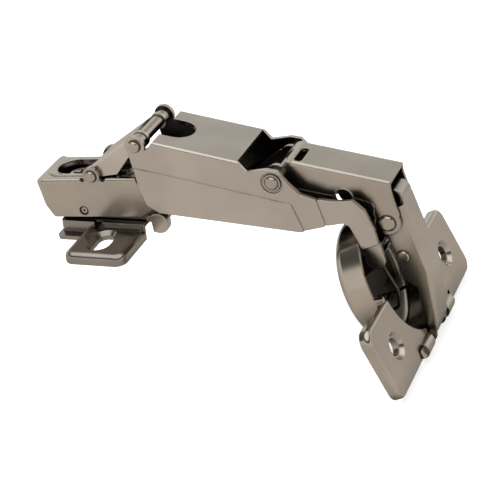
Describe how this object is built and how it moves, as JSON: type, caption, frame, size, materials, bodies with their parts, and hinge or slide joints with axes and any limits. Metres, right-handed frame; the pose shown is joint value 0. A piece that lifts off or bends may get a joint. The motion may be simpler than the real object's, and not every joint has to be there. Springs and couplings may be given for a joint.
{
  "type": "concealed hinge",
  "caption": "Wide-opening concealed cabinet hinge: mounting plate, adjustable arm, folding linkage and a drilled-in cup with its screw flange.",
  "frame": {"origin": "middle of the line through the two screw slots, on the mounting plate's underside", "axes": "+Z away from the cabinet side, +X along the arm to the cabinet front, +Y along the hinge pins"},
  "size_m": [0.1106, 0.0698, 0.0609],
  "materials": {
    "pressed_steel": "satin",
    "pin_steel": "polished",
    "screw_steel": "satin",
    "bracket_steel": "satin"
  },
  "bodies": {
    "base": {"base_plate": "pressed_steel"},
    "carrier": {"clip_carrier": "pressed_steel", "carrier_pin": "pin_steel"},
    "clamp": {"clamp_screw": "screw_steel"},
    "arm": {"arm_channel": "pressed_steel", "short_link_pin": "pin_steel", "arm_front_pin": "pin_steel"},
    "side_adjuster": {"side_screw": "screw_steel"},
    "short": {"short_link": "pressed_steel"},
    "shell": {"outer_link": "pressed_steel", "shell_pin": "pin_steel", "spacer_near": "pin_steel", "spacer_far": "pin_steel"},
    "inner": {"inner_link": "pressed_steel", "crossing_pin": "pin_steel", "washer_near": "pin_steel", "washer_far": "pin_steel", "cross_tube_near": "pin_steel", "cross_tube_far": "pin_steel", "knee_rivet_near": "pin_steel", "knee_rivet_far": "pin_steel"},
    "cup": {"hinge_cup": "pressed_steel", "cup_bracket": "bracket_steel", "cup_rear_pin": "pin_steel", "cup_front_pin": "pin_steel", "closing_spring": "pin_steel"},
    "cup_side": {"cup_link": "pressed_steel", "spring_rivet": "pin_steel"}
  },
  "joints": [
    {"name": "fold", "type": "hinge", "parent": "arm", "child": "inner", "pos_m": [0.03301, 0, 0.00868], "axis": [0, -1, 0], "range_deg": [0, 112.6]},
    {"name": "short_turn", "type": "hinge", "parent": "arm", "child": "short", "pos_m": [-0.00448, 0, 0.01783], "axis": [0, -1, 0], "range_deg": [0, 112.6]},
    {"name": "shell_turn", "type": "hinge", "parent": "inner", "child": "shell", "pos_m": [0.04965, 0, 0.01977], "axis": [0, -1, 0], "range_deg": [-112.6, 0]},
    {"name": "cup_turn", "type": "hinge", "parent": "shell", "child": "cup", "pos_m": [0.07515, 0, -0.00202], "axis": [0, -1, 0], "range_deg": [0, 160]},
    {"name": "cup_link_turn", "type": "hinge", "parent": "cup", "child": "cup_side", "pos_m": [0.08627, 0, -0.02654], "axis": [0, -1, 0], "range_deg": [-131.7, 0]},
    {"name": "depth_slide", "type": "slide", "parent": "base", "child": "carrier", "axis": [1, 0, 0], "range_m": [-0.002, 0.002]},
    {"name": "side_tilt", "type": "hinge", "parent": "carrier", "child": "arm", "pos_m": [-0.00871, 0, 0.00713], "axis": [0, -1, 0], "range_deg": [-1.5, 1.5]},
    {"name": "clamp_turn", "type": "hinge", "parent": "carrier", "child": "clamp", "pos_m": [-0.0118, 0, 0.0132], "axis": [0, 0, 1], "continuous": true},
    {"name": "side_turn", "type": "hinge", "parent": "arm", "child": "side_adjuster", "pos_m": [0.00271, 0, 0.01257], "axis": [-0.0553, 0, 0.9985], "continuous": true}
  ],
  "couplings": [
    {"joint": "short_turn", "follows": "fold", "ratio": 1},
    {"joint": "shell_turn", "follows": "fold", "ratio": -1},
    {"joint": "cup_turn", "follows": "fold", "ratio": 1.421},
    {"joint": "cup_link_turn", "follows": "fold", "ratio": -1.1696}
  ]
}
